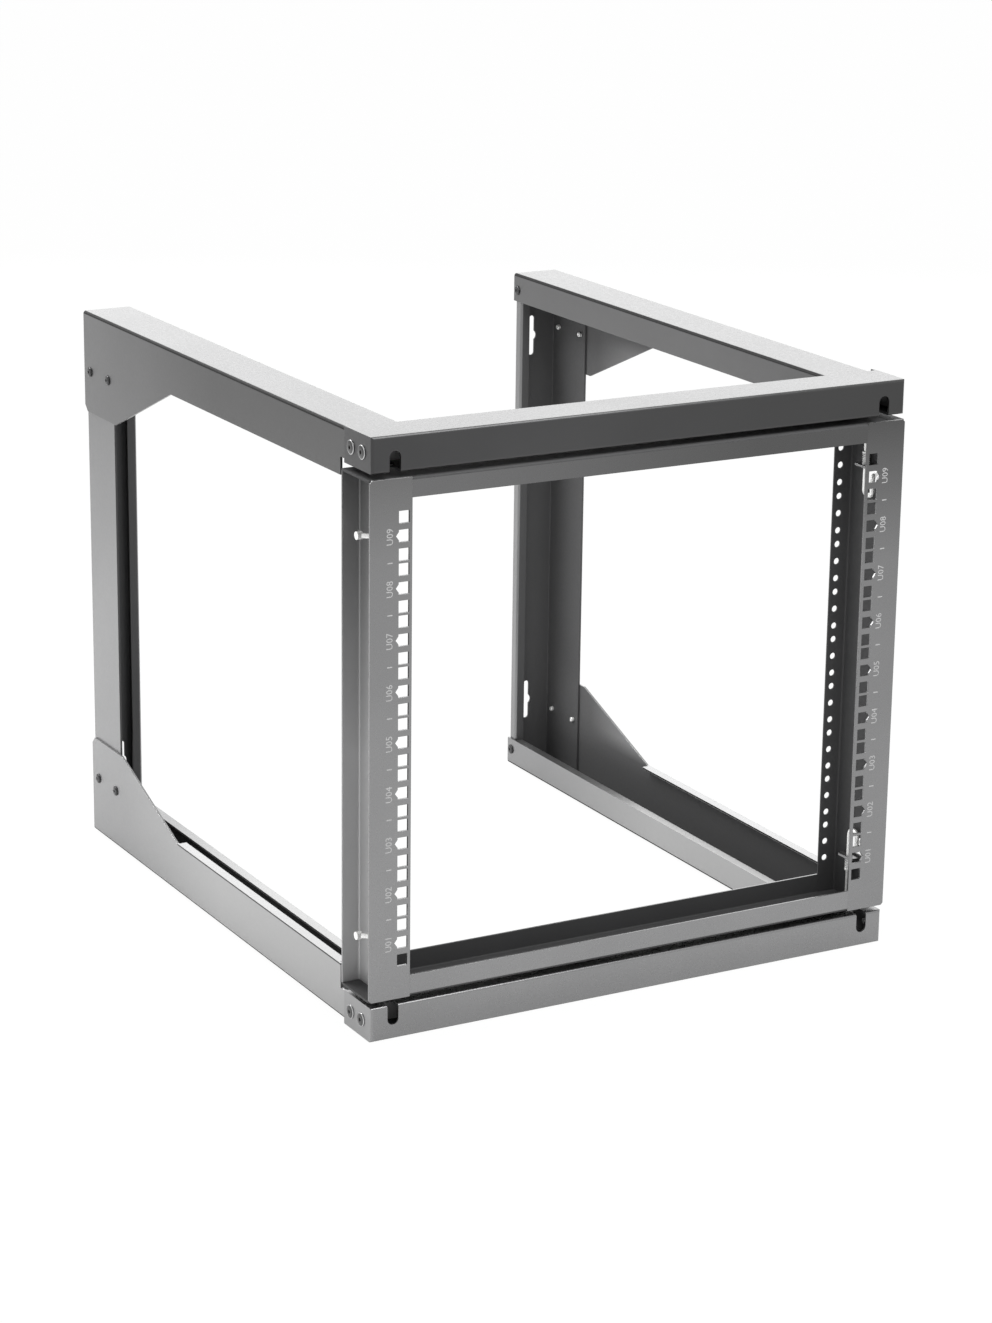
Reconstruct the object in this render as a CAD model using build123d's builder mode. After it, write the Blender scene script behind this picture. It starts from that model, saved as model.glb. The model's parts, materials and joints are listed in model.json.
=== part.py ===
from build123d import *
import os

# Open frame wall rack with a swing gate, nine rack units high, for 19 inch equipment.
# Frame: X to the right, Y back to the wall, Z up, millimetres.
# The origin is on the back face of the left wall post, at its middle, on the wall plane.

# Rack units and hole grid
unit_height = 44.45
unit_count = 9
hole_edge = 6.35
hole_pitch = 15.875
hole_column_spacing = 465.1
square_hole_width = 9.8
square_hole_height = 10.4
notch_reach = 2.6
notch_half_height = 3.5
round_hole = 6.0

# Gate
rail_width = 39.0
column_inset = 7.55
gate_depth = 52.0
opening_margin = 9.0
top_bar_height = 17.5
bottom_bar_height = 19.5
gate_sheet = 2.0
angle_sheet = 1.5
column_to_web = 11.95
rear_rail_inset = 1.0
gate_corner = 2.0

# Frame
rack_depth = 610.0
frame_sheet = 2.0
bend_radius = 3.0
gate_gap = 5.0
crossbar_inset = 1.5
crossbar_height = 31.0
crossbar_corner = 2.5
crossbar_flange_depth = 44.0
pin_flange_depth = 48.0
ear_depth = 50.0
notch_width = 10.5
notch_length = 18.0
notch_shift = 1.0

# Arms
arm_width = 50.0
upper_web_height = 42.0
lower_web_height = 49.0
inner_wall_height = 28.0
lip_width = 9.0
gusset_drop = 97.0
gusset_flat = 74.0
gusset_length = 203.0
gusset_chamfer = 6.0
web_relief = 61.0
lip_relief = 65.0
arm_end_gap = 0.5
relief_gap = 0.5

# Wall posts
post_depth = 66.0
post_inner_depth = 12.0
post_lip = 10.0
post_end_gap = 1.0
keyhole_height = 195.0
keyhole_length = 41.0
keyhole_width = 6.5
keyhole_head = 11.0
keyhole_offset = 5.0

# Screws
screw_hole = 5.5
gusset_screw_depths = (14.0, 57.0)
gusset_screw_drop = 57.0
ear_screw_depths = (17.5, 37.5)
wall_screw_depth = 7.0
wall_screw_drop = 16.5

# Spring pins
pin_diameter = 4.5
pin_to_web = 4.5
pin_depth = 22.5
pin_reach = 2.5
pin_travel = 6.0
pin_clearance = 0.1
pin_loop_end = 72.0
loop_spacing = 11.5
handle_distance = 52.0
handle_bend = 4.5
knob_diameter = 7.0
knob_length = 5.0
knob_to_web = 15.5
knob_depth = 28.0
guide_distance = 43.0
guide_thickness = 2.0
guide_width = 10.0
guide_length = 22.0
spring_length = 11.0
spring_diameter = 7.0
clip_thickness = 1.0
clip_diameter = 7.4
window_front = 8.0
window_rear = 31.0
window_clearance = 2.0
bushing_flange = 1.2
bushing_lip = 3.0
bushing_seat = 0.1

# Worked out from the sizes above
rail_inner = hole_column_spacing / 2 - column_inset
half_width = rail_inner + rail_width
rear_rail_inner = rail_inner + rear_rail_inset
angle_face = hole_column_spacing / 2 + column_to_web
opening_half = unit_height * unit_count / 2 + opening_margin
gate_top = opening_half + top_bar_height
gate_bottom = -opening_half - bottom_bar_height
top_crossbar_low = gate_top + gate_gap
bottom_crossbar_high = gate_bottom - gate_gap
frame_top = top_crossbar_low + crossbar_height
frame_bottom = bottom_crossbar_high - crossbar_height
ear_outer = half_width - crossbar_inset
arm_outer = ear_outer - frame_sheet
arm_inner = arm_outer - arm_width
post_outer = arm_outer - frame_sheet
post_inner = arm_inner + frame_sheet
post_middle = (post_outer + post_inner) / 2
rack_middle = post_middle
front = -rack_depth
gate_rear = front + gate_depth
pin_y = front + pin_depth
pin_offset = angle_face - pin_to_web
notch_offset = pin_offset + notch_shift
leg_y = pin_y - loop_spacing
window_depth = window_rear - window_front
window_height = knob_diameter + pin_travel + 2 * window_clearance
sides = {"left": -1, "right": 1}
levels = {"upper": 1, "lower": -1}


def at(side, distance):
    """X of a point at this distance from the rack's middle plane, on one side."""
    return rack_middle + side * distance


def hole_heights():
    """Heights of the rack holes, from the lowest to the highest."""
    lowest = -unit_height * unit_count / 2 + hole_edge
    return [lowest + unit * unit_height + row * hole_pitch for unit in range(unit_count) for row in range(3)]


def block(x0, x1, y0, y1, z0, z1):
    """A box between two corners, for the builder in use."""
    with Locations(((x0 + x1) / 2, (y0 + y1) / 2, (z0 + z1) / 2)):
        Box(abs(x1 - x0), abs(y1 - y0), abs(z1 - z0))


def window_centres():
    """Depth and height of the middle of each handle window in a gate web."""
    depth = front + window_front + window_depth / 2
    distance = handle_distance + pin_travel / 2
    return [(depth, gate_top - distance), (depth, gate_bottom + distance)]


def level_ends(level):
    """The arm's outer face height, its web height and the crossbar's gate side, for one level."""
    if level > 0:
        return frame_top - frame_sheet, upper_web_height, top_crossbar_low
    return frame_bottom + frame_sheet, lower_web_height, bottom_crossbar_high


def finish(builder, name):
    """Label one piece and write it out."""
    builder.part.label = name
    export_step(builder.part, f"parts/{name}.step")
    return builder


def make_post():
    """Left wall post: a lipped channel folded from one sheet, with two keyhole slots."""
    length = frame_top - frame_bottom - 4 * frame_sheet - 2 * post_end_gap
    low = frame_bottom + 2 * frame_sheet + post_end_gap
    with BuildPart() as post:
        with BuildSketch(Plane.XY.offset(low)):
            with BuildLine():
                FilletPolyline(
                    (at(-1, post_outer), -post_depth),
                    (at(-1, post_outer), 0),
                    (at(-1, post_inner), 0),
                    (at(-1, post_inner), -post_inner_depth),
                    (at(-1, post_inner + post_lip), -post_inner_depth),
                    radius=bend_radius,
                )
                offset(amount=frame_sheet, side=Side.RIGHT)
            make_face()
        extrude(amount=length)
        with BuildSketch(Plane.XZ):
            for level in levels.values():
                with Locations((at(-1, post_middle - keyhole_offset), level * keyhole_height)):
                    SlotOverall(keyhole_length, keyhole_width, rotation=90)
                    Circle(keyhole_head / 2)
        extrude(amount=frame_sheet, mode=Mode.SUBTRACT)
        for level in levels.values():
            height = level_ends(level)[0]
            with BuildSketch(Plane.YZ.offset(at(-1, post_outer))):
                for depth in gusset_screw_depths:
                    with Locations((-depth, height - level * gusset_screw_drop)):
                        Circle(screw_hole / 2)
            extrude(amount=frame_sheet, mode=Mode.SUBTRACT)
            with BuildSketch(Plane.YZ.offset(at(-1, post_inner))):
                with Locations((-wall_screw_depth, height - level * wall_screw_drop)):
                    Circle(screw_hole / 2)
            extrude(amount=-frame_sheet, mode=Mode.SUBTRACT)
    return post


def make_arm(level):
    """Left arm: an open channel with a deep gusset at the wall and a notch for the gate."""
    face, web_height, gate_side = level_ends(level)
    near = front + frame_sheet + arm_end_gap
    lip_near = front + lip_relief
    web_edge = face - level * web_height
    wall_edge = face - level * inner_wall_height
    gusset_edge = face - level * gusset_drop
    relief_edge = gate_side + level * (frame_sheet + relief_gap)
    outer = at(-1, arm_outer)
    inner = at(-1, arm_inner)
    with BuildPart() as arm:
        with BuildSketch(Plane.XZ):
            with BuildLine():
                FilletPolyline(
                    (outer, gusset_edge),
                    (outer, face),
                    (inner, face),
                    (inner, wall_edge),
                    radius=bend_radius,
                )
                offset(amount=frame_sheet, side=Side.RIGHT if level > 0 else Side.LEFT)
            make_face()
        extrude(amount=-near)
        with BuildSketch(Plane.YZ.offset(outer)):
            with BuildLine():
                Polyline(
                    (near, gusset_edge),
                    (near, relief_edge),
                    (front + web_relief, relief_edge),
                    (front + web_relief, web_edge),
                    (-gusset_length, web_edge),
                    (-gusset_flat, gusset_edge),
                    close=True,
                )
            make_face()
            with BuildLine():
                Polyline(
                    (0, gusset_edge),
                    (-gusset_chamfer, gusset_edge),
                    (0, gusset_edge + level * gusset_chamfer),
                    close=True,
                )
            make_face()
        extrude(amount=frame_sheet, mode=Mode.SUBTRACT)
        with BuildSketch(Plane.YZ.offset(inner)):
            with BuildLine():
                Polyline(
                    (near, wall_edge),
                    (near, relief_edge),
                    (front + web_relief, relief_edge),
                    (front + web_relief, wall_edge),
                    close=True,
                )
            make_face()
        extrude(amount=-frame_sheet, mode=Mode.SUBTRACT)
        block(
            outer, outer + lip_width,
            lip_near, -gusset_length - frame_sheet,
            web_edge, web_edge + level * frame_sheet,
        )
        block(
            inner - lip_width, inner,
            lip_near, -post_inner_depth - bend_radius,
            wall_edge, wall_edge + level * frame_sheet,
        )
        with BuildSketch(Plane.YZ.offset(outer)):
            for depth in gusset_screw_depths:
                with Locations((-depth, face - level * gusset_screw_drop)):
                    Circle(screw_hole / 2)
            for depth in ear_screw_depths:
                with Locations((front + depth, gate_side + level * crossbar_height / 2)):
                    Circle(screw_hole / 2)
        extrude(amount=frame_sheet, mode=Mode.SUBTRACT)
        with BuildSketch(Plane.YZ.offset(inner)):
            with Locations((-wall_screw_depth, face - level * wall_screw_drop)):
                Circle(screw_hole / 2)
        extrude(amount=-frame_sheet, mode=Mode.SUBTRACT)
    return arm


def make_crossbar(level):
    """Front crossbar: a folded channel with ears over the arms and two notched pin slots."""
    gate_side = level_ends(level)[2]
    far_side = gate_side + level * crossbar_height
    low, high = sorted((gate_side, far_side))
    left, right = at(-1, ear_outer), at(1, ear_outer)
    hollow_width = 2 * (ear_outer - frame_sheet)
    with BuildPart() as bar:
        block(left, right, front, front + ear_depth, low, high)
        fillet(bar.edges().group_by(Axis.Y)[0], crossbar_corner)
        with Locations((rack_middle, front + (frame_sheet + ear_depth) / 2, (low + high) / 2)):
            Box(hollow_width, ear_depth - frame_sheet, crossbar_height - 2 * frame_sheet, mode=Mode.SUBTRACT)
        with BuildSketch(Plane.YZ.offset(left + frame_sheet)):
            with BuildLine():
                Polyline(
                    (front + crossbar_flange_depth, far_side),
                    (front + ear_depth, far_side),
                    (front + ear_depth, gate_side),
                    (front + pin_flange_depth, gate_side),
                    (front + pin_flange_depth, gate_side + level * frame_sheet),
                    (front + crossbar_flange_depth, far_side - level * frame_sheet),
                    close=True,
                )
            make_face()
        extrude(amount=hollow_width, mode=Mode.SUBTRACT)
        for side in sides.values():
            x = at(side, notch_offset)
            with BuildSketch(Plane.XZ.offset(-front)):
                with Locations((x, gate_side)):
                    SlotOverall(2 * notch_length, notch_width, rotation=90)
            extrude(amount=-frame_sheet, mode=Mode.SUBTRACT)
            with BuildSketch(Plane.XY.offset(gate_side)):
                with Locations((x, front)):
                    SlotOverall(2 * pin_depth + notch_width, notch_width, rotation=90)
            extrude(amount=level * frame_sheet, mode=Mode.SUBTRACT)
        with BuildSketch(Plane.YZ.offset(left)):
            for depth in ear_screw_depths:
                with Locations((front + depth, gate_side + level * crossbar_height / 2)):
                    Circle(screw_hole / 2)
        extrude(amount=frame_sheet, mode=Mode.SUBTRACT)
        with BuildSketch(Plane.YZ.offset(right)):
            for depth in ear_screw_depths:
                with Locations((front + depth, gate_side + level * crossbar_height / 2)):
                    Circle(screw_hole / 2)
        extrude(amount=-frame_sheet, mode=Mode.SUBTRACT)
    return bar


def make_bushing(level):
    """Hinge side bushing that fills the end of a pin slot and guides the hinge pin."""
    gate_side = level_ends(level)[2]
    with BuildPart() as bushing:
        with BuildSketch(Plane.XY.offset(gate_side + level * frame_sheet)):
            with Locations((at(-1, pin_offset), pin_y)):
                Circle(notch_width / 2 + bushing_lip)
                Circle(pin_diameter / 2 + pin_clearance, mode=Mode.SUBTRACT)
        extrude(amount=level * bushing_flange)
        with BuildSketch(Plane.XY.offset(gate_side)):
            with Locations((at(-1, notch_offset), pin_y)):
                Circle(notch_width / 2 - bushing_seat)
            with Locations((at(-1, pin_offset), pin_y)):
                Circle(pin_diameter / 2 + pin_clearance, mode=Mode.SUBTRACT)
        extrude(amount=level * frame_sheet)
    return bushing


def make_rail(side):
    """Gate rail: the flat front strip with the square rack holes."""
    inner = at(side, rail_inner)
    outer = at(side, half_width)
    with BuildPart() as rail:
        with BuildSketch(Plane.XZ.offset(-front)):
            with Locations(((inner + outer) / 2, (gate_top + gate_bottom) / 2)):
                Rectangle(abs(outer - inner), gate_top - gate_bottom)
            chamfer(vertices().filter_by(lambda v: abs(v.X - outer) < gate_sheet), gate_corner)
        extrude(amount=-gate_sheet)
        column = at(side, hole_column_spacing / 2)
        with BuildSketch(Plane.XZ.offset(-front)):
            for height in hole_heights():
                with Locations((column, height)):
                    Rectangle(square_hole_width, square_hole_height)
            edge = column + side * square_hole_width / 2
            for height in hole_heights()[1::3]:
                with BuildLine():
                    Polyline(
                        (edge, height - notch_half_height),
                        (edge + side * notch_reach, height),
                        (edge, height + notch_half_height),
                        close=True,
                    )
                make_face()
        extrude(amount=-gate_sheet, mode=Mode.SUBTRACT)
    return rail


def make_rear_angle(side):
    """Inner gate angle: side web with the handle windows and rear strip with round holes."""
    low = gate_bottom + gate_sheet
    high = gate_top - gate_sheet
    with BuildPart() as angle:
        with BuildSketch(Plane.XY.offset(low)):
            with BuildLine():
                FilletPolyline(
                    (at(side, angle_face + angle_sheet), front + gate_sheet),
                    (at(side, angle_face + angle_sheet), gate_rear),
                    (at(side, rear_rail_inner), gate_rear),
                    radius=bend_radius,
                )
                offset(amount=angle_sheet, side=Side.LEFT if side > 0 else Side.RIGHT)
            make_face()
        extrude(amount=high - low)
        with BuildSketch(Plane.XZ.offset(-gate_rear)):
            for height in hole_heights():
                with Locations((at(side, hole_column_spacing / 2), height)):
                    Circle(round_hole / 2)
        extrude(amount=angle_sheet, mode=Mode.SUBTRACT)
        with BuildSketch(Plane.YZ.offset(at(side, angle_face))):
            with Locations(*window_centres()):
                RectangleRounded(window_depth, window_height, window_clearance)
        extrude(amount=side * angle_sheet, mode=Mode.SUBTRACT)
    return angle


def make_side_angle(side):
    """Outer gate angle: stands back to back with the inner one and closes the rear outwards."""
    low = gate_bottom + gate_sheet
    high = gate_top - gate_sheet
    web = angle_face + angle_sheet
    with BuildPart() as angle:
        with BuildSketch(Plane.XY.offset(low)):
            with BuildLine():
                FilletPolyline(
                    (at(side, web), front + gate_sheet),
                    (at(side, web), gate_rear),
                    (at(side, half_width), gate_rear),
                    radius=bend_radius,
                )
                offset(amount=angle_sheet, side=Side.RIGHT if side > 0 else Side.LEFT)
            make_face()
        extrude(amount=high - low)
        with BuildSketch(Plane.YZ.offset(at(side, web))):
            with Locations(*window_centres()):
                RectangleRounded(window_depth, window_height, window_clearance)
        extrude(amount=side * angle_sheet, mode=Mode.SUBTRACT)
    return angle


def make_gate_bar(level):
    """Horizontal gate bar: a channel with a cap plate that closes both ends of the gate."""
    end = gate_top if level > 0 else gate_bottom
    edge = opening_half * level
    with BuildPart() as bar:
        with BuildSketch(Plane.YZ.offset(at(-1, rear_rail_inner))):
            with BuildLine():
                FilletPolyline(
                    (front, edge),
                    (front, end),
                    (gate_rear, end),
                    (gate_rear, edge),
                    radius=bend_radius,
                )
                offset(amount=gate_sheet, side=Side.RIGHT if level > 0 else Side.LEFT)
            make_face()
        extrude(amount=2 * rear_rail_inner)
        for side in sides.values():
            with BuildSketch(Plane.XZ.offset(-front)):
                with Locations((at(side, (rail_inner + rear_rail_inner) / 2), end)):
                    Rectangle(rear_rail_inset, 2 * (gate_top - opening_half + gate_sheet))
            extrude(amount=-gate_sheet, mode=Mode.SUBTRACT)
            block(
                at(side, rear_rail_inner), at(side, half_width),
                front + gate_sheet, gate_rear,
                end - level * gate_sheet, end,
            )
            with Locations((at(side, pin_offset), pin_y, end)):
                Cylinder(pin_diameter / 2 + pin_clearance, 4 * gate_sheet, mode=Mode.SUBTRACT)
    return bar


def make_pin(side, level):
    """Spring pin: one rod that loops back and turns outwards through the web, with a knob at its end."""
    end = gate_top if level > 0 else gate_bottom
    x = at(side, pin_offset)
    tip = end + level * (gate_gap + frame_sheet + pin_reach)
    loop = end - level * (pin_loop_end - pin_diameter / 2)
    bar = end - level * handle_distance
    knob_x = at(side, angle_face + knob_to_web)
    with BuildPart() as pin:
        with BuildLine():
            FilletPolyline(
                (x, pin_y, tip),
                (x, pin_y, loop),
                (x, leg_y, loop),
                (x, leg_y, bar),
                (knob_x, front + knob_depth, bar),
                radius=handle_bend,
            )
        with BuildSketch(Plane(origin=(x, pin_y, tip), z_dir=(0, 0, -level))):
            Circle(pin_diameter / 2)
        sweep()
        with BuildSketch(Plane(origin=(knob_x, front + knob_depth, bar), z_dir=(side, 0, 0))):
            Circle(knob_diameter / 2)
        extrude(amount=knob_length / 2, both=True)
    return pin


def make_guide(side, level):
    """Pin guide: a small plate on the web with a hole for the pin."""
    end = gate_top if level > 0 else gate_bottom
    height = end - level * guide_distance
    face = at(side, angle_face)
    with BuildPart() as guide:
        with BuildSketch(Plane.XY.offset(height)):
            with Locations((face - side * guide_width / 2, pin_y)):
                Rectangle(guide_width, guide_length)
            chamfer(vertices().filter_by(lambda v: abs(v.X - face) > guide_width / 2), gate_corner)
            with Locations((at(side, pin_offset), pin_y)):
                Circle(pin_diameter / 2 + pin_clearance, mode=Mode.SUBTRACT)
        extrude(amount=-level * guide_thickness)
    return guide


def make_spring(side, level):
    """Pin spring: a sleeve of the coil's size between the guide and the clip."""
    end = gate_top if level > 0 else gate_bottom
    with BuildPart() as spring:
        with BuildSketch(Plane.XY.offset(end - level * guide_distance)):
            with Locations((at(side, pin_offset), pin_y)):
                Circle(spring_diameter / 2)
                Circle(pin_diameter / 2 + pin_clearance, mode=Mode.SUBTRACT)
        extrude(amount=level * spring_length)
    return spring


def make_clip(side, level):
    """Retaining clip: a ring on the pin that the spring pushes against."""
    end = gate_top if level > 0 else gate_bottom
    start = end - level * (guide_distance - spring_length)
    with BuildPart() as clip:
        with BuildSketch(Plane.XY.offset(start)):
            with Locations((at(side, pin_offset), pin_y)):
                Circle(clip_diameter / 2)
                Circle(pin_diameter / 2, mode=Mode.SUBTRACT)
        extrude(amount=level * clip_thickness)
    return clip


def mirrored(piece):
    """The same piece on the other side of the rack's middle plane."""
    with BuildPart() as other:
        add(mirror(piece.part, about=Plane.YZ.offset(rack_middle)))
    return other


os.makedirs("parts", exist_ok=True)

left_post = finish(make_post(), "left_wall_post")
finish(mirrored(left_post), "right_wall_post")
for level_name, level in levels.items():
    left_arm = finish(make_arm(level), f"{level_name}_left_arm")
    finish(mirrored(left_arm), f"{level_name}_right_arm")
    finish(make_bushing(level), f"{level_name}_hinge_bushing")
finish(make_crossbar(1), "top_crossbar")
finish(make_crossbar(-1), "bottom_crossbar")

finish(make_gate_bar(1), "gate_top_bar")
finish(make_gate_bar(-1), "gate_bottom_bar")
for side_name, side in sides.items():
    finish(make_rail(side), f"gate_{side_name}_rail")
    finish(make_rear_angle(side), f"gate_{side_name}_rear_angle")
    finish(make_side_angle(side), f"gate_{side_name}_side_angle")
    for level_name, level in levels.items():
        corner = f"{level_name}_{side_name}"
        finish(make_pin(side, level), f"{corner}_pin")
        finish(make_guide(side, level), f"{corner}_pin_guide")
        finish(make_spring(side, level), f"{corner}_pin_spring")
        finish(make_clip(side, level), f"{corner}_pin_clip")
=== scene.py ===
import json
import math
from collections import namedtuple

import bmesh
import bpy
from mathutils import Matrix, Vector


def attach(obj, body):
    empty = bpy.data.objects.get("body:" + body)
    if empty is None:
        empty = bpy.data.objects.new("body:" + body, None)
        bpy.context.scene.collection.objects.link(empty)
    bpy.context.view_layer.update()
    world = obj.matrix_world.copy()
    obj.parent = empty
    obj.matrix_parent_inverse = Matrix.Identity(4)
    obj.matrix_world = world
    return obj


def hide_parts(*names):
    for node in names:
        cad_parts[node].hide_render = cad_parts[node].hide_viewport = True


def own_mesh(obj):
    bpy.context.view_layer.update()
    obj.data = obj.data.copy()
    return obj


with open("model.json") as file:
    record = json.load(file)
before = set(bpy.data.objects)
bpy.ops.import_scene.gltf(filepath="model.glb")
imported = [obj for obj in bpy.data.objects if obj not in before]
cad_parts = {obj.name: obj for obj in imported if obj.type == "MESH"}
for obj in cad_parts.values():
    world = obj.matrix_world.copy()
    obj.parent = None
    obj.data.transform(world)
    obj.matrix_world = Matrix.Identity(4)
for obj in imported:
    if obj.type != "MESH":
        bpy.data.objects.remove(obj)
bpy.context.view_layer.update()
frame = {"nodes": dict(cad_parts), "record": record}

# Sizes of the CAD model, in millimetres. A reach is counted outwards from the middle plane, a depth back
# from the gate's front face, and a height from the origin. The keys 1 and -1 stand for upper and lower.
MM = 0.001
MIDDLE = 235.5
FRONT = -610.0
GATE_ENDS = {1: 226.525, -1: -228.525}
BAR_EDGES = {1: 231.525, -1: -233.525}
ARM_FACES = {1: 260.525, -1: -262.525}
UNIT = 44.45
UNITS = 9
SIDES = (("left", -1), ("right", 1))
LEVELS = (("upper", 1), ("lower", -1))


def across(side, reach):
    """X at a reach to one side of the middle plane, in millimetres."""
    return MIDDLE + side * reach


# Nodes that the materials share

WHITE = (1.0, 1.0, 1.0)


def new_material(name):
    """An empty node material with its output and a shader."""
    material = bpy.data.materials.new(name)
    material.use_nodes = True
    tree = material.node_tree
    tree.nodes.clear()
    out = tree.nodes.new("ShaderNodeOutputMaterial")
    shader = tree.nodes.new("ShaderNodeBsdfPrincipled")
    tree.links.new(shader.outputs["BSDF"], out.inputs["Surface"])
    return material, tree, shader


def fill(tree, socket, value):
    """Link a socket, or set a number or a colour that has no link."""
    if isinstance(value, tuple):
        socket.default_value = (*value, 1.0)
    elif isinstance(value, float):
        socket.default_value = value
    else:
        tree.links.new(value, socket)


def calculate(tree, operation, *values):
    """A maths node on sockets and numbers."""
    node = tree.nodes.new("ShaderNodeMath")
    node.operation = operation
    for socket, value in zip(node.inputs, values):
        fill(tree, socket, value)
    return node.outputs[0]


def blend(tree, factor, first, second):
    """A mix of two colours."""
    node = tree.nodes.new("ShaderNodeMix")
    node.data_type = "RGBA"
    fill(tree, node.inputs["Factor"], factor)
    fill(tree, node.inputs[6], first)
    fill(tree, node.inputs[7], second)
    return node.outputs[2]


def ramp(tree, value, low, high, start=0.3, end=0.7):
    """Spread a value between start and end over the range from low to high."""
    node = tree.nodes.new("ShaderNodeMapRange")
    node.inputs["From Min"].default_value = start
    node.inputs["From Max"].default_value = end
    node.inputs["To Min"].default_value = low
    node.inputs["To Max"].default_value = high
    tree.links.new(value, node.inputs["Value"])
    return node.outputs["Result"]


def along(tree, axis):
    """The object's own coordinate along one axis, in metres."""
    place = tree.nodes.new("ShaderNodeTexCoord")
    split = tree.nodes.new("ShaderNodeSeparateXYZ")
    tree.links.new(place.outputs["Object"], split.inputs["Vector"])
    return split.outputs[axis]


def noise(tree, scale, detail=3.0, stretch=(1.0, 1.0, 1.0)):
    """Noise in the object's own coordinates, stretched along its axes."""
    place = tree.nodes.new("ShaderNodeTexCoord")
    mapping = tree.nodes.new("ShaderNodeMapping")
    mapping.inputs["Scale"].default_value = stretch
    texture = tree.nodes.new("ShaderNodeTexNoise")
    texture.inputs["Scale"].default_value = scale
    texture.inputs["Detail"].default_value = detail
    tree.links.new(place.outputs["Object"], mapping.inputs["Vector"])
    tree.links.new(mapping.outputs["Vector"], texture.inputs["Vector"])
    return texture.outputs["Fac"]


def add_bump(tree, shader, height, strength, distance, normal=None):
    """Give a shader a bump, which may lie on another normal."""
    bump = tree.nodes.new("ShaderNodeBump")
    bump.inputs["Strength"].default_value = strength
    bump.inputs["Distance"].default_value = distance
    tree.links.new(height, bump.inputs["Height"])
    if normal is not None:
        tree.links.new(normal, bump.inputs["Normal"])
    tree.links.new(bump.outputs["Normal"], shader.inputs["Normal"])


# Materials

# The painted dark reflection along the fold of a lower arm's lip starts where its gusset ends. Both ranges
# are in metres.
LIP_FOLD = (-0.2151, -0.2148)
GUSSET_END = (-0.203, -0.206)
FOLD_REFLECTION_TONE = (0.02, 0.02, 0.02)

# The inside of an arm is painted lighter where its gusset reaches past the channel, and darker near the wall.
# In metres.
CHANNEL_MOUTH = (0.2, 0.216)
GUSSET_LIGHT = (-0.19, -0.09)

PEEL_SCALE = 420.0
PEEL_DEPTH = 0.0002
FINE_DEPTH = 0.0001
EDGE_ROUNDING = 0.0006

# Lowest and highest roughness of the coats
SATIN = (0.26, 0.32)
SOFT_SATIN = (0.28, 0.34)
DULL = (0.55, 0.65)


def painted_fold_reflection(tree, colour):
    """A thin dark line painted where the lip of a lower arm folds off its outer wall, a painted reflection of
    the bend.
    """
    above = ramp(tree, along(tree, "Z"), 0.0, 1.0, *LIP_FOLD)
    ahead = ramp(tree, along(tree, "Y"), 0.0, 1.0, *GUSSET_END)
    return blend(tree, calculate(tree, "MULTIPLY", above, ahead), colour, FOLD_REFLECTION_TONE)


def powder_coat(name, low, high, roughness, metallic, specular=0.5, fade=None, line=False):
    """Powder coat with a fine orange peel and faint clouds.

    A fade is painted light and shade along one axis: the axis, where the change starts and ends on it in
    metres, and the tone at its end. A line adds the painted reflection at a lower arm's lip fold.
    """
    material, tree, shader = new_material(name)
    clouds = noise(tree, 9.0, 4.0)
    grain = noise(tree, 1500.0, 2.0)
    peel = noise(tree, PEEL_SCALE)
    mottle = calculate(tree, "MULTIPLY_ADD", grain, 0.35, ramp(tree, clouds, 0.0, 0.65))
    colour = blend(tree, mottle, low, high)
    # The fade paints light and shade into the base colour as a change of tone along one axis.
    if fade is not None:
        axis, start, end, far_tone = fade
        share = ramp(tree, along(tree, axis), 0.0, 1.0, start, end)
        colour = blend(tree, share, colour, (far_tone, far_tone, far_tone))
    # A line paints the dark reflection of the lip's fold.
    if line:
        colour = painted_fold_reflection(tree, colour)
    tree.links.new(colour, shader.inputs["Base Color"])
    tree.links.new(ramp(tree, peel, *roughness), shader.inputs["Roughness"])
    shader.inputs["Metallic"].default_value = metallic
    shader.inputs["Specular IOR Level"].default_value = specular
    bevel = tree.nodes.new("ShaderNodeBevel")
    bevel.samples = 4
    bevel.inputs["Radius"].default_value = EDGE_ROUNDING
    add_bump(tree, shader, peel, 0.03, PEEL_DEPTH, bevel.outputs["Normal"])
    return material


def shaded_channel(name, dark, lit):
    """The coat inside an arm, a dark copy with painted shade, painted lighter on the free slope of its
    gusset.
    """
    material, tree, shader = new_material(name)
    away = calculate(tree, "ABSOLUTE", along(tree, "Z"))
    free = ramp(tree, away, 1.0, 0.0, *CHANNEL_MOUTH)
    slope = ramp(tree, along(tree, "Y"), 1.0, 0.0, *GUSSET_LIGHT)
    colour = blend(tree, calculate(tree, "MULTIPLY", free, slope), dark, lit)
    tree.links.new(colour, shader.inputs["Base Color"])
    peel = noise(tree, PEEL_SCALE)
    tree.links.new(ramp(tree, peel, 0.42, 0.52), shader.inputs["Roughness"])
    shader.inputs["Metallic"].default_value = 0.1
    shader.inputs["Specular IOR Level"].default_value = 0.2
    add_bump(tree, shader, peel, 0.12, PEEL_DEPTH)
    return material


def plated(name, low, high, roughness, stretch, metallic):
    """Bright plated steel with faint drawn lines along one axis."""
    material, tree, shader = new_material(name)
    lines = noise(tree, 900.0, stretch=stretch)
    tree.links.new(blend(tree, lines, low, high), shader.inputs["Base Color"])
    tree.links.new(ramp(tree, lines, *roughness), shader.inputs["Roughness"])
    shader.inputs["Metallic"].default_value = metallic
    add_bump(tree, shader, lines, 0.1, FINE_DEPTH)
    return material


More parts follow.
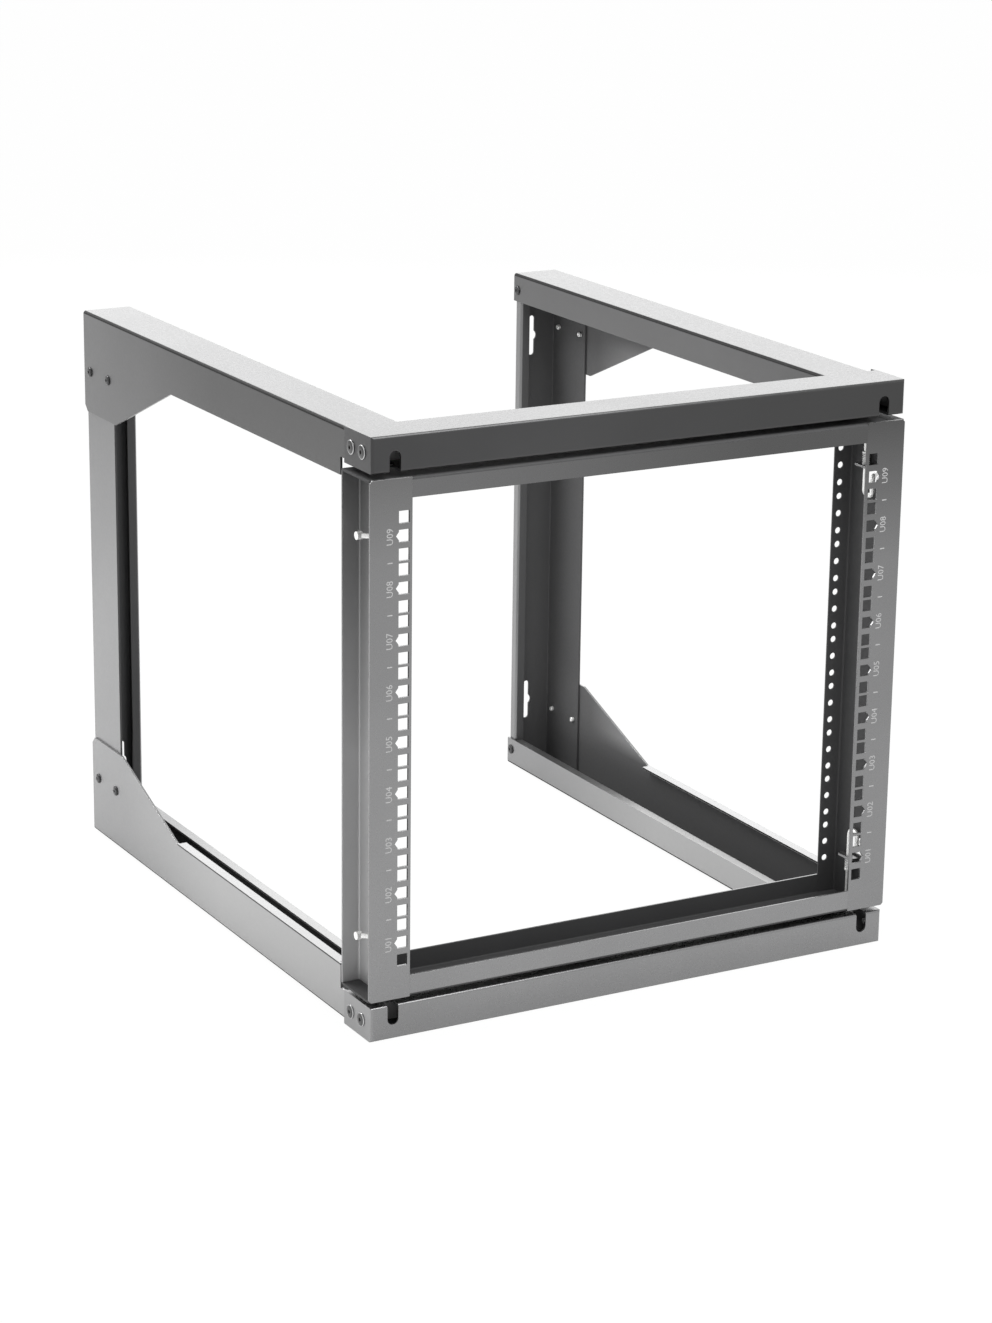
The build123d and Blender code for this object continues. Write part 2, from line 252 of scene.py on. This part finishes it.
def moulded(name, low, high):
    """Dull moulded plastic with a fine texture."""
    material, tree, shader = new_material(name)
    grain = noise(tree, 1200.0, 2.0)
    tree.links.new(blend(tree, grain, low, high), shader.inputs["Base Color"])
    tree.links.new(ramp(tree, grain, 0.5, 0.62), shader.inputs["Roughness"])
    add_bump(tree, shader, grain, 0.15, FINE_DEPTH)
    return material


def printed(name, low, high):
    """Screen printed ink, a little uneven."""
    material, tree, shader = new_material(name)
    grain = noise(tree, 2200.0, 2.0)
    tree.links.new(blend(tree, grain, low, high), shader.inputs["Base Color"])
    tree.links.new(ramp(tree, grain, 0.5, 0.65), shader.inputs["Roughness"])
    return material


# The coat of the whole rack, and lit and shaded copies of it that single pieces or faces have. These copies
# and every fade are painted light and shade.
# Painted shade: the rack's coat darkens towards the top.
paint = powder_coat("rack_powder_coat", (0.21, 0.21, 0.212), (0.24, 0.24, 0.242), SATIN, 0.88,
                    fade=("Z", 0.16, 0.235, 0.15))
# Painted shade: a darker copy of the coat for the top crossbar and the upper arms' tops.
top_shade_paint = powder_coat("top_powder_coat_painted_shade", (0.16, 0.16, 0.161), (0.185, 0.185, 0.187), SATIN, 0.88)
# Painted shade: the right rail of the gate darkens towards the top.
rail_shade_paint = powder_coat("rail_powder_coat_painted_shade", (0.2, 0.2, 0.202), (0.225, 0.225, 0.227), SATIN, 0.88,
                         fade=("Z", 0.1, 0.225, 0.095))
# Painted shade: a darker copy for the gate's top bar, darker still towards the right.
bar_shade_paint = powder_coat("bar_powder_coat_painted_shade", (0.15, 0.15, 0.151), (0.17, 0.17, 0.172), SATIN, 0.88,
                        fade=("X", 0.0, 0.35, 0.095))
# Painted shade: a near black copy for the top crossbar below its top, darker still towards the right.
deep_shade_paint = powder_coat("deep_powder_coat_painted_shade", (0.05, 0.05, 0.051), (0.065, 0.065, 0.066), (0.28, 0.36), 0.7,
                         fade=("X", 0.1, 0.5, 0.05))
post_paint = powder_coat("post_powder_coat", (0.2, 0.2, 0.202), (0.23, 0.23, 0.232), SOFT_SATIN, 0.85)
# Painted shade: a darker copy for the upper arms, which darkens towards the front.
upper_shade_paint = powder_coat("upper_powder_coat_painted_shade", (0.15, 0.15, 0.151), (0.175, 0.175, 0.177), SOFT_SATIN, 0.85,
                          fade=("Y", 0.0, -0.3, 0.085))
# Painted light: the lower arms lighten towards the front, and carry the painted dark reflection at the lip's
# fold.
lower_lit_paint = powder_coat("lower_powder_coat_painted_light", (0.22, 0.22, 0.222), (0.24, 0.24, 0.242), SOFT_SATIN, 0.85,
                          fade=("Y", -0.08, -0.3, 0.35), line=True)
# Painted shade: a darker copy for the faces of the arms' inner walls that look at each other.
span_shade_paint = powder_coat("span_powder_coat_painted_shade", (0.12, 0.12, 0.121), (0.14, 0.14, 0.141), SOFT_SATIN, 0.85)
# Painted light: a lighter copy for the outer faces of the bottom crossbar's ears.
ear_lit_paint = powder_coat("ear_powder_coat_painted_light", (0.28, 0.28, 0.282), (0.31, 0.31, 0.312), SOFT_SATIN, 0.85)
# Painted reflection: near black bends along the arms.
bend_reflection_paint = powder_coat("bend_powder_coat_painted_reflection", (0.012, 0.012, 0.012), (0.02, 0.02, 0.02), DULL, 0.0, 0.1)
# Painted light: a light copy for the flat top of the lower arms' outer lips.
lip_lit_paint = powder_coat("lip_powder_coat_painted_light", (0.34, 0.34, 0.342), (0.38, 0.38, 0.383), SATIN, 0.88)
# Painted light: a pale copy for the front faces of the stops behind the crossbar slots.
stop_lit_paint = powder_coat("stop_powder_coat_painted_light", (0.7, 0.7, 0.705), (0.78, 0.78, 0.785), DULL, 0.0, 0.2)
# Painted shade: a dark copy for faces inside the pieces and in the gaps between them.
inner_shade_paint = powder_coat("inner_powder_coat_painted_shade", (0.05, 0.05, 0.051), (0.06, 0.06, 0.061), DULL, 0.1, 0.2)
shade_paint = powder_coat("shade_powder_coat", (0.068, 0.068, 0.069), (0.08, 0.08, 0.081), DULL, 0.1, 0.2)
# Painted light and shade: a lighter copy for the gate's side angles, which darkens towards the top.
flank_light_and_shade_paint = powder_coat("flank_powder_coat_painted_light_and_shade", (0.4, 0.4, 0.402), (0.44, 0.44, 0.443), (0.4, 0.5), 0.5,
                          fade=("Z", -0.02, 0.22, 0.15))
channel_paint = shaded_channel("channel_powder_coat", (0.085, 0.085, 0.086), (0.24, 0.24, 0.242))

# Screws, pins, springs, bushings and ink
# Painted highlight: a light ring on the rim of each ear screw's dark dome.
rim_highlight_steel = powder_coat("screw_rim_painted_highlight", (0.42, 0.42, 0.422), (0.5, 0.5, 0.503), (0.2, 0.28), 1.0)
ear_screw = powder_coat("screw_black_gloss", (0.006, 0.006, 0.006), (0.01, 0.01, 0.01), (0.06, 0.1), 0.0, 0.6)
dark_screw = powder_coat("screw_black_oxide", (0.04, 0.04, 0.041), (0.07, 0.07, 0.072), (0.24, 0.34), 0.8)
zinc = plated("pin_zinc", (0.8, 0.8, 0.79), (0.92, 0.92, 0.91), (0.2, 0.34), (1.0, 1.0, 0.08), 0.45)
spring_steel = plated("spring_wire", (0.75, 0.75, 0.75), (0.88, 0.88, 0.88), (0.22, 0.32),
                      (1.0, 1.0, 1.0), 0.5)
nylon = moulded("bushing_nylon", (0.03, 0.03, 0.03), (0.05, 0.05, 0.05))
ink = printed("unit_ink", (0.34, 0.34, 0.34), (0.46, 0.46, 0.46))


# Materials of the CAD model

# A face's place, how far its normal points away from the middle plane, and its normal
Face = namedtuple("Face", "reach depth height outward normal")

# Limits that tell the faces of a piece apart. Between the two of a pair lies the inside of the piece.
POST_INSIDE = (214.4, 256.6)
ARM_INSIDE = (216.0, 255.0)
GATE_BAR_INSIDE = (1.0, 51.0)
BOTTOM_BAR_FRONT = 1.0
ARM_FLOOR = 255.0
ARM_INNER_FACE = 212.0
LIP_REACH = 236.0
LIP_HEIGHT = -245.0
EAR_REACH = 262.0
TOP_BAR_FACE = 262.4

# How far a normal has to point one way for its face to count as turned, as square to it or as quite flat
TURNED = 0.3
SQUARE = 0.5
FLAT = 0.97
BEND_START = 0.2


def dress(obj, material):
    """Give an object one material all over."""
    obj.data.materials.clear()
    obj.data.materials.append(material)


def repaint(name, material, chosen):
    """Give the faces of one node that a rule picks another tone of the paint, a copy with painted light and
    shade.
    """
    node = frame["nodes"][name]
    node.data.materials.append(material)
    index = len(node.data.materials) - 1
    for polygon in node.data.polygons:
        spot = node.matrix_world @ polygon.center / MM
        outward = polygon.normal.x * (1 if spot.x > MIDDLE else -1)
        if chosen(Face(abs(spot.x - MIDDLE), spot.y - FRONT, spot.z, outward, polygon.normal)):
            polygon.material_index = index


def everything(face):
    """All faces."""
    return True


def inside_post(face):
    """All of a post apart from the outer face of each of its walls."""
    outer_wall = face.outward > TURNED and face.reach > POST_INSIDE[1]
    inner_wall = face.outward < -TURNED and face.reach < POST_INSIDE[0]
    return not (outer_wall or inner_wall)


def inside_arm(face):
    """The inner faces of an arm's channel."""
    outer_wall = face.outward < -TURNED and face.reach > ARM_INSIDE[1]
    inner_wall = face.outward > TURNED and face.reach < ARM_INSIDE[0]
    inwards = face.normal.z * face.height < 0
    floor_face = abs(face.normal.z) > SQUARE and abs(face.height) > ARM_FLOOR and inwards
    return outer_wall or inner_wall or floor_face


def arm_bend(face):
    """The bends along an arm."""
    return BEND_START < abs(face.normal.z) < FLAT and abs(face.normal.y) < BEND_START


def arm_top(face):
    """The flat top of an upper arm."""
    return face.normal.z > FLAT and face.height > ARM_FLOOR


def arm_span(face):
    """The face of an arm's inner wall that looks at the other arm."""
    return face.outward < -SQUARE and face.reach < ARM_INNER_FACE


def outer_lip(face):
    """The lip on top of a lower arm's outer wall."""
    return face.normal.z > FLAT and face.height > LIP_HEIGHT and face.reach > LIP_REACH


def below_top(face):
    """All of the top crossbar apart from its flat top."""
    return face.height < TOP_BAR_FACE


def behind_front(face):
    """The bottom crossbar behind its front face, apart from faces that look outwards or up."""
    return face.depth > BOTTOM_BAR_FRONT and face.outward < TURNED and face.normal.z < SQUARE


def ear_face(face):
    """The outer faces of a crossbar's ears."""
    return face.outward > SQUARE and face.reach > EAR_REACH


def inside_bar(face):
    """The inside of a gate bar's channel, and its face and bend under the crossbar."""
    front, rear = GATE_BAR_INSIDE
    away = face.normal.z * face.height > BEND_START * abs(face.height)
    return front < face.depth < rear or away


looks = {"black_paint": paint, "zinc": zinc, "spring_steel": spring_steel, "bushing": nylon}
for entry in frame["record"]["subparts"]:
    dress(frame["nodes"][entry["node"]], looks[entry["material_slot"]])

# The tones given to chosen faces below are painted light and shade on the one coat of the rack.
repaint("top_crossbar", top_shade_paint, everything)
repaint("top_crossbar", deep_shade_paint, below_top)
repaint("bottom_crossbar", inner_shade_paint, behind_front)
repaint("bottom_crossbar", ear_lit_paint, ear_face)
post_shades = {"left": inner_shade_paint, "right": shade_paint}
for side_name, side in SIDES:
    repaint(f"{side_name}_wall_post", post_paint, everything)
    repaint(f"{side_name}_wall_post", post_shades[side_name], inside_post)
    repaint(f"gate_{side_name}_rear_angle", inner_shade_paint, everything)
    repaint(f"gate_{side_name}_side_angle", flank_light_and_shade_paint, everything)
    repaint(f"upper_{side_name}_arm", upper_shade_paint, everything)
    repaint(f"upper_{side_name}_arm", span_shade_paint, arm_span)
    repaint(f"upper_{side_name}_arm", top_shade_paint, arm_top)
    repaint(f"lower_{side_name}_arm", lower_lit_paint, everything)
    for level_name, level in LEVELS:
        repaint(f"{level_name}_{side_name}_arm", channel_paint, inside_arm)
        repaint(f"{level_name}_{side_name}_arm", bend_reflection_paint, arm_bend)
    repaint(f"lower_{side_name}_arm", lip_lit_paint, outer_lip)
repaint("gate_top_bar", bar_shade_paint, everything)
repaint("gate_right_rail", rail_shade_paint, everything)
for bar in ("gate_top_bar", "gate_bottom_bar"):
    repaint(bar, inner_shade_paint, inside_bar)


# Meshes

SHARP_ANGLE = math.radians(32)


def make_object(name, mesh_bm, material, smooth=True, matrix=None):
    """Turn a bmesh in metres into an object with its origin at zero."""
    if matrix is not None:
        bmesh.ops.transform(mesh_bm, matrix=matrix, verts=mesh_bm.verts)
    bmesh.ops.recalc_face_normals(mesh_bm, faces=mesh_bm.faces)
    mesh = bpy.data.meshes.new(name)
    mesh_bm.to_mesh(mesh)
    mesh_bm.free()
    obj = bpy.data.objects.new(name, mesh)
    bpy.context.scene.collection.objects.link(obj)
    dress(obj, material)
    for polygon in mesh.polygons:
        polygon.use_smooth = smooth
    if smooth:
        mesh.set_sharp_from_angle(angle=SHARP_ANGLE)
    return obj


def skin(solid, rings):
    """Join rings with the same number of points to one closed skin."""
    steps = len(rings[0])
    for a, b in zip(rings, rings[1:]):
        for i in range(steps):
            solid.faces.new((a[i], a[(i + 1) % steps], b[(i + 1) % steps], b[i]))
    solid.faces.new(list(reversed(rings[0])))
    solid.faces.new(rings[-1])


def lathe(profile, steps):
    """A turned solid about Z from radii and heights in millimetres, bottom to top."""
    solid = bmesh.new()
    rings = []
    for radius, height in profile:
        ring = []
        for i in range(steps):
            angle = 2 * math.pi * i / steps
            point = (radius * math.cos(angle) * MM, radius * math.sin(angle) * MM, height * MM)
            ring.append(solid.verts.new(point))
        rings.append(ring)
    skin(solid, rings)
    return solid


def aimed(position, normal, spin):
    """A matrix that puts Z along the normal at a place in millimetres, turned about it."""
    turn = Vector(normal).to_track_quat("Z", "Y").to_matrix().to_4x4()
    return Matrix.Translation(Vector(position) * MM) @ turn @ Matrix.Rotation(spin, 4, "Z")


# Screws

# Every head stands on two sheets of 2 mm. A head is given by its radius, its height and the radius of its
# hexagon.
SHEETS = 4.0
EAR_HEAD = (6.2, 1.45, 1.9)
GUSSET_HEAD = (4.7, 1.9, 1.6)
WALL_HEAD = (4.8, 1.8, 1.6)
# Beyond this share of its radius, an ear screw head carries the painted highlight ring.
HIGHLIGHT_RIM_SHARE = 0.87
SHANK_RADIUS = 2.4
SHANK_LENGTH = 3.0
SPIN_STEP = 0.7

# Where the screws stand. The depths of the ear screws run back from the front, and those of the others run
# forward from the wall. A rise goes outwards from the crossbar's edge at the gate, and a drop goes inwards
# from an arm's outer face.
EAR_SCREW_REACH = 262.5
EAR_SCREW_DEPTHS = (17.5, 37.5)
EAR_SCREW_RISE = 15.5
GUSSET_SCREW_REACH = 260.5
GUSSET_SCREW_DEPTHS = (14.0, 57.0)
GUSSET_SCREW_DROP = 57.0
WALL_SCREW_REACH = 210.5
WALL_SCREW_DEPTH = 7.0
WALL_SCREW_DROP = 16.5


def button_head(radius, height, drive):
    """A domed screw head with a hexagon recess and a low upright rim."""
    chamfer = 0.25
    rim = 0.7
    crown = drive * 1.25
    recess = height * 0.55
    profile = [(radius * 0.96, 0.0), (radius, chamfer), (radius, rim)]
    for i in range(1, 9):
        angle = math.radians(90 * i / 8)
        profile.append((crown + (radius - crown) * math.cos(angle), rim + (height - rim) * math.sin(angle)))
    solid = lathe(profile, 36)
    top = max(solid.faces, key=lambda face: face.calc_center_median().z)
    bmesh.ops.inset_individual(solid, faces=[top], thickness=drive * 0.12 * MM)
    for vert in top.verts:
        angle = math.atan2(vert.co.y, vert.co.x)
        wedge = (angle % (math.pi / 3)) - math.pi / 6
        reach = drive * math.cos(math.pi / 6) / math.cos(wedge)
        vert.co.x = reach * math.cos(angle) * MM
        vert.co.y = reach * math.sin(angle) * MM
    pit = bmesh.ops.extrude_discrete_faces(solid, faces=[top])["faces"][0]
    for vert in pit.verts:
        vert.co.z -= recess * MM
    return solid


def screw_end(radius, length):
    """The end of a screw with its chamfer and a small dimple."""
    chamfer = 0.5
    dimple = 0.3
    return lathe([
        (radius, 0.0),
        (radius, length - chamfer),
        (radius - chamfer, length),
        (radius * 0.4, length),
        (radius * 0.15, length - dimple),
    ], 28)


def screw_set(name, material, position, normal, radius, height, drive, spin):
    """A screw head outside its sheets, and the end of its shank inside."""
    dome = button_head(radius, height, drive)
    head = make_object(name, dome, material, matrix=aimed(position, normal, spin))
    # The outer rim of an ear screw's head gets the painted highlight ring.
    if material is ear_screw:
        head.data.materials.append(rim_highlight_steel)
        for polygon in head.data.polygons:
            apart = polygon.center / MM - Vector(position)
            if (apart - apart.project(Vector(normal))).length > radius * HIGHLIGHT_RIM_SHARE:
                polygon.material_index = 1
    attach(head, "frame")
    inside = [p - n * SHEETS for p, n in zip(position, normal)]
    back = [-n for n in normal]
    end = screw_end(SHANK_RADIUS, SHANK_LENGTH)
    shank = make_object(name + "_end", end, zinc, matrix=aimed(inside, back, spin))
    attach(shank, "frame")


def corner_screws(corner, side, level, first):
    """The five screws of one corner. The first one's number sets how far each is turned."""
    spins = [(first + i) * SPIN_STEP for i in range(5)]
    outwards = (side, 0, 0)
    inwards = (-side, 0, 0)
    for i, depth in enumerate(EAR_SCREW_DEPTHS):
        height = BAR_EDGES[level] + level * EAR_SCREW_RISE
        position = (across(side, EAR_SCREW_REACH), FRONT + depth, height)
        screw_set(f"ear_screw_{corner}_{i + 1}", ear_screw, position, outwards, *EAR_HEAD, spins[i])
    for i, depth in enumerate(GUSSET_SCREW_DEPTHS):
        height = ARM_FACES[level] - level * GUSSET_SCREW_DROP
        position = (across(side, GUSSET_SCREW_REACH), -depth, height)
        spin = spins[2 + i]
        screw_set(f"gusset_screw_{corner}_{i + 1}", dark_screw, position, outwards, *GUSSET_HEAD, spin)
    height = ARM_FACES[level] - level * WALL_SCREW_DROP
    position = (across(side, WALL_SCREW_REACH), -WALL_SCREW_DEPTH, height)
    screw_set(f"wall_screw_{corner}", dark_screw, position, inwards, *WALL_HEAD, spins[4])


first_number = 1
for side_name, side in SIDES:
    for level_name, level in LEVELS:
        corner_screws(f"{level_name}_{side_name}", side, level, first_number)
        first_number += 5


# Stops behind the crossbar slots

# Where a stop stands, and its sizes. It is 0.05 mm off the crossbar's sheet.
STOP_LIFT = 2.05
STOP_REACHES = (212.0, 252.0)
STOP_FRONT = 32.0
STOP_REAR = 44.0
STOP_HEIGHT = 26.5
STOP_SHEET = 1.5
STOP_BEND = 1.1
STOP_BEVEL = 0.2


def folded_stop(name, side, level):
    """A small folded plate that stands behind a pin slot, inside the crossbar. It carries the painted inner
    shade, with pale painted light on its front faces.
    """
    inner = BAR_EDGES[level] + level * STOP_LIFT
    wall = STOP_FRONT + STOP_SHEET
    profile = [
        (STOP_FRONT, 0.0),
        (STOP_REAR, 0.0),
        (STOP_REAR, STOP_SHEET),
        (wall + STOP_BEND, STOP_SHEET),
        (wall + 0.3, STOP_SHEET + 0.3),
        (wall, STOP_SHEET + STOP_BEND),
        (wall, STOP_HEIGHT),
        (STOP_FRONT, STOP_HEIGHT),
    ]
    solid = bmesh.new()
    ends = []
    for reach in STOP_REACHES:
        x = across(side, reach)
        ends.append([
            solid.verts.new((x * MM, (FRONT + depth) * MM, (inner + level * rise) * MM))
            for depth, rise in profile
        ])
    skin(solid, ends)
    bmesh.ops.bevel(solid, geom=list(solid.edges), offset=STOP_BEVEL * MM, segments=1, affect="EDGES")
    stop = make_object(name, solid, inner_shade_paint)
    stop.data.materials.append(stop_lit_paint)
    # The front faces get the pale painted light, the rest the painted inner shade.
    for polygon in stop.data.polygons:
        if polygon.normal.y < -SQUARE:
            polygon.material_index = 1
    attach(stop, "frame")


for side_name, side in SIDES:
    for level_name, level in LEVELS:
        folded_stop(f"slot_stop_{level_name}_{side_name}", side, level)


# Springs

# The coil stands between the pin's guide and its clip, and is pressed to its shortest by the drawn pin.
PIN_REACH = 240.0
PIN_DEPTH = 22.5
GUIDE_DROP = 43.0
COIL_RADIUS = 3.05
WIRE = 0.9
COIL_LENGTH = 11.0
TURNS = 7.0
CLOSED_TURNS = 0.75
CLOSED_RISE = 0.4


def coil_height(turn):
    """How far the wire has risen after a number of turns. Its ends lie nearly flat."""
    lead_in = min(turn, CLOSED_TURNS) / CLOSED_TURNS
    lead_out = max(turn - (TURNS - CLOSED_TURNS), 0.0) / CLOSED_TURNS
    rise = min(max((turn - CLOSED_TURNS) / (TURNS - 2 * CLOSED_TURNS), 0.0), 1.0)
    open_length = COIL_LENGTH - WIRE * (1 + 2 * CLOSED_RISE)
    return WIRE / 2 + (lead_in + lead_out) * WIRE * CLOSED_RISE + rise * open_length


def helix(x, y, start, level, sides=8, steps=22):
    """A coil spring with closed ends, as one swept tube."""
    solid = bmesh.new()
    rings = []
    total = int(TURNS * steps)
    for i in range(total + 1):
        turn = i / total * TURNS
        angle = 2 * math.pi * turn
        out = Vector((math.cos(angle), math.sin(angle), 0))
        centre = Vector((x, y, start + level * coil_height(turn))) + out * COIL_RADIUS
        ring = []
        for k in range(sides):
            around = 2 * math.pi * k / sides
            offset = out * (WIRE / 2 * math.cos(around)) + Vector((0, 0, WIRE / 2 * math.sin(around)))
            ring.append(solid.verts.new((centre + offset) * MM))
        rings.append(ring)
    skin(solid, rings)
    return solid


for side_name, side in SIDES:
    for level_name, level in LEVELS:
        start = GATE_ENDS[level] - level * GUIDE_DROP
        x, y = across(side, PIN_REACH), FRONT + PIN_DEPTH
        corner = f"{level_name}_{side_name}"
        coil = make_object(f"{corner}_coil", helix(x, y, start, level), spring_steel)
        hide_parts(f"{corner}_pin_spring")
        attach(coil, "gate")
        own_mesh(coil)


# Unit marks on the gate rails

MARK_REACH = 245.5
MARK_PROUD = 0.04
NUMBER_HEIGHT = 8.6
TICK_LENGTH = 4.8
TICK_WIDTH = 1.0


def flat_text(name, words, height, position, spin):
    """Thin printed numbers on the gate's front face."""
    curve = bpy.data.curves.new(name, "FONT")
    curve.body = words
    curve.align_x = "CENTER"
    curve.align_y = "CENTER"
    curve.size = height * MM
    curve.resolution_u = 2
    text = bpy.data.objects.new(name, curve)
    bpy.context.scene.collection.objects.link(text)
    bpy.context.view_layer.update()
    mesh = bpy.data.meshes.new_from_object(text)
    bpy.data.objects.remove(text)
    upright = Matrix.Rotation(math.pi / 2, 4, "X") @ Matrix.Rotation(spin, 4, "Z")
    mesh.transform(Matrix.Translation(Vector(position) * MM) @ upright)
    return mesh


def tick(whole, x, y, z):
    """A flat stroke across the rail with its middle at this place."""
    ends = (x - TICK_LENGTH / 2, x + TICK_LENGTH / 2)
    edges = (z - TICK_WIDTH / 2, z + TICK_WIDTH / 2)
    corners = ((ends[0], edges[0]), (ends[1], edges[0]), (ends[1], edges[1]), (ends[0], edges[1]))
    whole.faces.new([whole.verts.new((cx * MM, y * MM, cz * MM)) for cx, cz in corners])


def mark_strip(name, side):
    """All the numbers of one rail, with a tick between units, as one mesh."""
    whole = bmesh.new()
    x = across(side, MARK_REACH)
    face = FRONT - MARK_PROUD
    lowest = -UNITS / 2 * UNIT
    for unit in range(UNITS):
        middle = lowest + (unit + 0.5) * UNIT
        place = (x, face, middle)
        mesh = flat_text(f"{name}_{unit}", f"U0{unit + 1}", NUMBER_HEIGHT, place, math.pi / 2)
        whole.from_mesh(mesh)
        bpy.data.meshes.remove(mesh)
    for unit in range(1, UNITS):
        tick(whole, x, face, lowest + unit * UNIT)
    marks = make_object(name, whole, ink, smooth=False)
    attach(marks, "gate")


for side_name, side in SIDES:
    mark_strip(f"unit_marks_{side_name}", side)


# Floor and world

FLOOR_SIZE = 12.0
FLOOR_PLACE = (0.2355, -0.3, -0.2648)
FLOOR_TONE = (0.94, 0.94, 0.94)
FLOOR_GLOW = 0.96
FLOOR_IN_GLOSS = 0.45
WORLD_LIGHT = 0.85


def any_ray(tree, *kinds):
    """One for a ray of any of these kinds, and otherwise zero."""
    path = tree.nodes.new("ShaderNodeLightPath")
    value = path.outputs[kinds[0]]
    for kind in kinds[1:]:
        value = calculate(tree, "MAXIMUM", value, path.outputs[kind])
    return value


def mix_shaders(tree, factor, first, second, out):
    """Send a mix of two shaders to the output."""
    mix = tree.nodes.new("ShaderNodeMixShader")
    tree.links.new(factor, mix.inputs["Fac"])
    tree.links.new(first, mix.inputs[1])
    tree.links.new(second, mix.inputs[2])
    tree.links.new(mix.outputs["Shader"], out.inputs["Surface"])


def pale_floor():
    """A dull floor that looks white, and about half as bright where the paint mirrors it."""
    material = bpy.data.materials.new("pale_floor")
    material.use_nodes = True
    tree = material.node_tree
    tree.nodes.clear()
    out = tree.nodes.new("ShaderNodeOutputMaterial")
    diffuse = tree.nodes.new("ShaderNodeBsdfDiffuse")
    fill(tree, diffuse.inputs["Color"], FLOOR_TONE)
    glow = tree.nodes.new("ShaderNodeEmission")
    fill(tree, glow.inputs["Color"], WHITE)
    fill(tree, glow.inputs["Strength"], 1.0)
    seen = any_ray(tree, "Is Camera Ray", "Is Transmission Ray")
    mirrored = calculate(tree, "MULTIPLY", any_ray(tree, "Is Glossy Ray"), FLOOR_IN_GLOSS)
    share = calculate(tree, "MULTIPLY_ADD", seen, FLOOR_GLOW, mirrored)
    mix_shaders(tree, share, diffuse.outputs["BSDF"], glow.outputs["Emission"], out)
    return material


def background(tree, strength):
    """A plain white background of some strength."""
    node = tree.nodes.new("ShaderNodeBackground")
    fill(tree, node.inputs["Color"], WHITE)
    fill(tree, node.inputs["Strength"], strength)
    return node.outputs["Background"]


def white_world():
    """A world that is white to the camera, in gloss and through glass, and lights the rest a little less."""
    world = bpy.data.worlds.new("studio")
    world.use_nodes = True
    tree = world.node_tree
    tree.nodes.clear()
    out = tree.nodes.new("ShaderNodeOutputWorld")
    clear = any_ray(tree, "Is Camera Ray", "Is Glossy Ray", "Is Transmission Ray")
    mix_shaders(tree, clear, background(tree, WORLD_LIGHT), background(tree, 1.0), out)
    return world


floor_mesh = bmesh.new()
bmesh.ops.create_grid(floor_mesh, x_segments=1, y_segments=1, size=FLOOR_SIZE)
floor_matrix = Matrix.Translation(FLOOR_PLACE)
floor = make_object("floor", floor_mesh, pale_floor(), smooth=False, matrix=floor_matrix)
bpy.context.scene.world = white_world()


# Lamps

def area_light(name, position, target, width, height, energy):
    """A soft lamp aimed at a point, in metres and watts."""
    data = bpy.data.lights.new(name, "AREA")
    data.shape = "RECTANGLE"
    data.size = width
    data.size_y = height
    data.energy = energy
    lamp = bpy.data.objects.new(name, data)
    bpy.context.scene.collection.objects.link(lamp)
    lamp.location = position
    lamp.visible_camera = False
    lamp.rotation_euler = (Vector(target) - Vector(position)).to_track_quat("-Z", "Y").to_euler()


area_light("key_behind_left", (-0.35, 0.55, 1.0), (-0.3, 0.45, -0.26), 0.8, 0.8, 24.0)
area_light("fill_front", (0.35, -0.95, 1.0), (0.35, -0.9, -0.26), 0.8, 0.8, 12.0)
area_light("soft_box_behind", (1.75, 2.4, 0.95), (0.2, -0.3, 0.1), 2.8, 1.9, 19.0)


# Camera, fitted to the corners of the rack in the photograph

PHOTO_HEIGHT_PIXELS = 1323.0
FOCAL_LENGTH_PIXELS = 3500.0
SENSOR = 36.0
CAMERA_PLACE = (-1.2809, -3.0697, 0.8970)
AZIMUTH = math.radians(29.14)
ELEVATION = math.radians(16.58)
ROLL = math.radians(0.74)

camera_data = bpy.data.cameras.new("camera")
camera = bpy.data.objects.new("camera", camera_data)
bpy.context.scene.collection.objects.link(camera)
bpy.context.scene.camera = camera
camera_data.sensor_fit = "AUTO"
camera_data.sensor_width = SENSOR
camera_data.lens = FOCAL_LENGTH_PIXELS * SENSOR / PHOTO_HEIGHT_PIXELS
camera_data.clip_start = 0.1
camera_data.clip_end = 60.0
level_forward = Vector((math.sin(AZIMUTH), math.cos(AZIMUTH), 0.0))
forward = level_forward * math.cos(ELEVATION) - Vector((0.0, 0.0, math.sin(ELEVATION)))
right = Vector((math.cos(AZIMUTH), -math.sin(AZIMUTH), 0.0))
up = right.cross(forward)
turned_right = right * math.cos(ROLL) + up * math.sin(ROLL)
turned_up = up * math.cos(ROLL) - right * math.sin(ROLL)
turn = Matrix((turned_right, turned_up, -forward)).transposed().to_4x4()
camera.matrix_world = Matrix.Translation(CAMERA_PLACE) @ turn

bpy.context.scene.view_settings.view_transform = "Standard"
